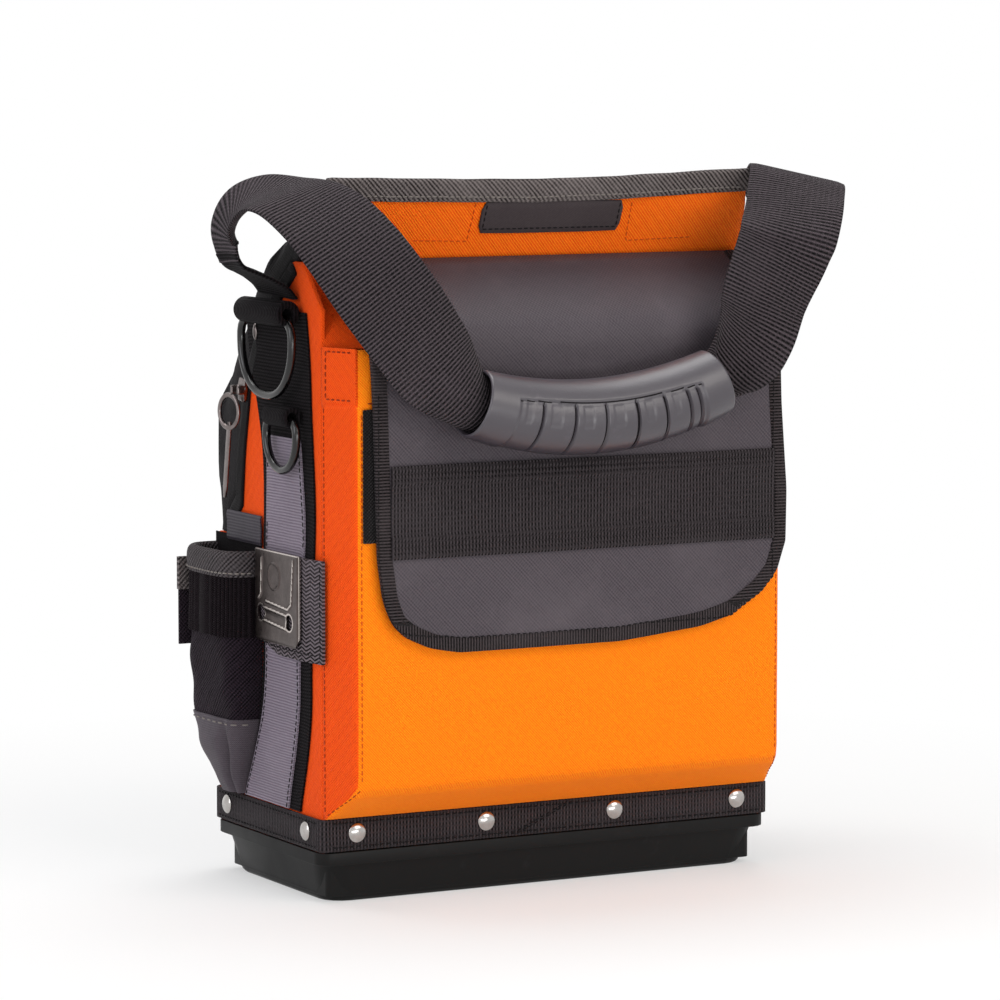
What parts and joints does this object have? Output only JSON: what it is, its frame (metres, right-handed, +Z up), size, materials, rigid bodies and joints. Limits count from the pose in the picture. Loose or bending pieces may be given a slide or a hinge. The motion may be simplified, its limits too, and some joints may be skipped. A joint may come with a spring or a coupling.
{
  "type": "tool pouch",
  "caption": "Tool pouch with moulded tray base, fabric body, fold-over flap, zipped rear door, side pockets, D-rings, tape clip and a webbing handle with a moulded grip",
  "frame": {"origin": "centre of the tray's underside", "axes": "+Z up, -Y the front that the flap covers, +X to the right seen from the front"},
  "size_m": [0.3721, 0.2041, 0.3726],
  "materials": {
    "black_plastic": "moulded, fine grain",
    "orange_fabric": "coated woven, matt",
    "black_webbing": "ribbed webbing",
    "grey_webbing": "ribbed webbing",
    "grey_twill": "twill",
    "flap_fabric": "coated twill",
    "black_nylon": "woven nylon",
    "grip_rubber": "soft touch, matt",
    "bright_steel": "polished",
    "dark_steel": "dulled plating",
    "satin_tape": "satin",
    "zip_tape": "matt"
  },
  "bodies": {
    "root": {"back_panel": "black_nylon", "base_tray": "black_plastic", "base_webbing": "black_webbing", "centre_panel": "orange_fabric", "clip_webbing": "grey_webbing", "front_lower_panel": "orange_fabric", "front_pocket": "orange_fabric", "hook_strip": "black_webbing", "label_patch": "grey_webbing", "pocket_binding_left": "grey_webbing", "pocket_binding_right": "grey_webbing", "pocket_elastic_left": "black_webbing", "pocket_elastic_right": "black_webbing", "ring_loop_large_left": "black_webbing", "ring_loop_large_right": "black_webbing", "ring_loop_small_left": "black_webbing", "ring_loop_small_right": "black_webbing", "rivet_back_inner_left": "bright_steel", "rivet_back_inner_right": "bright_steel", "rivet_back_outer_left": "bright_steel", "rivet_back_outer_right": "bright_steel", "rivet_front_inner_left": "bright_steel", "rivet_front_inner_right": "bright_steel", "rivet_front_outer_left": "bright_steel", "rivet_front_outer_right": "bright_steel", "rivet_left_front": "bright_steel", "rivet_left_rear": "bright_steel", "rivet_right_front": "bright_steel", "rivet_right_rear": "bright_steel", "satin_band_left": "satin_tape", "satin_band_right": "satin_tape", "side_panel_left": "orange_fabric", "side_panel_right": "orange_fabric", "side_pocket_left": "black_nylon", "side_pocket_right": "black_nylon", "side_rib_left": "grey_webbing", "side_rib_right": "grey_webbing", "side_webbing_left": "black_webbing", "side_webbing_right": "black_webbing", "strap_end_left": "grey_webbing", "strap_end_right": "grey_webbing", "tape_clip": "dark_steel", "top_binding": "grey_twill", "zip_tape_left": "zip_tape", "zip_tape_right": "zip_tape"},
    "flap": {"flap": "flap_fabric", "flap_binding": "black_webbing", "flap_webbing": "black_webbing"},
    "handle": {"grip": "grip_rubber", "strap_left": "grey_webbing", "strap_right": "grey_webbing"},
    "rear_door": {"rear_door": "black_nylon"},
    "ring_large_left_body": {"ring_large_left": "bright_steel"},
    "ring_large_right_body": {"ring_large_right": "bright_steel"},
    "ring_small_left_body": {"ring_small_left": "bright_steel"},
    "ring_small_right_body": {"ring_small_right": "bright_steel"},
    "zip_pull_body": {"zip_pull": "dark_steel"},
    "zip_slider_body": {"zip_slider": "dark_steel"}
  },
  "joints": [
    {"name": "flap_hinge", "type": "hinge", "parent": "root", "child": "flap", "pos_m": [0, -0.04085, 0.328], "axis": [-1, 0, 0], "range_deg": [0, 35]},
    {"name": "handle_hinge", "type": "hinge", "parent": "flap", "child": "handle", "pos_m": [0, -0.019, 0.326], "axis": [-1, 0, 0], "range_deg": [0, 65]},
    {"name": "rear_door_hinge", "type": "hinge", "parent": "root", "child": "rear_door", "pos_m": [0, 0.0624, 0.18], "axis": [-1, 0, 0], "range_deg": [0, 150]},
    {"name": "ring_large_left_hinge", "type": "hinge", "parent": "root", "child": "ring_large_left_body", "pos_m": [-0.1395, -0.017, 0.3], "axis": [0, 1, 0], "range_deg": [0, 35]},
    {"name": "ring_small_left_hinge", "type": "hinge", "parent": "root", "child": "ring_small_left_body", "pos_m": [-0.138, -0.031, 0.2475], "axis": [0, 1, 0], "range_deg": [0, 75]},
    {"name": "ring_large_right_hinge", "type": "hinge", "parent": "root", "child": "ring_large_right_body", "pos_m": [0.1395, -0.017, 0.3], "axis": [0, -1, 0], "range_deg": [0, 35]},
    {"name": "ring_small_right_hinge", "type": "hinge", "parent": "root", "child": "ring_small_right_body", "pos_m": [0.138, -0.031, 0.2475], "axis": [0, -1, 0], "range_deg": [0, 75]},
    {"name": "zip_slide", "type": "slide", "parent": "root", "child": "zip_slider_body", "axis": [0, 0.1705, -0.9854], "range_m": [0, 0.048]},
    {"name": "zip_pull_hinge", "type": "hinge", "parent": "zip_slider_body", "child": "zip_pull_body", "pos_m": [-0.13681, 0.0241, 0.2571], "axis": [0, 1, 0], "range_deg": [0, 90]}
  ]
}
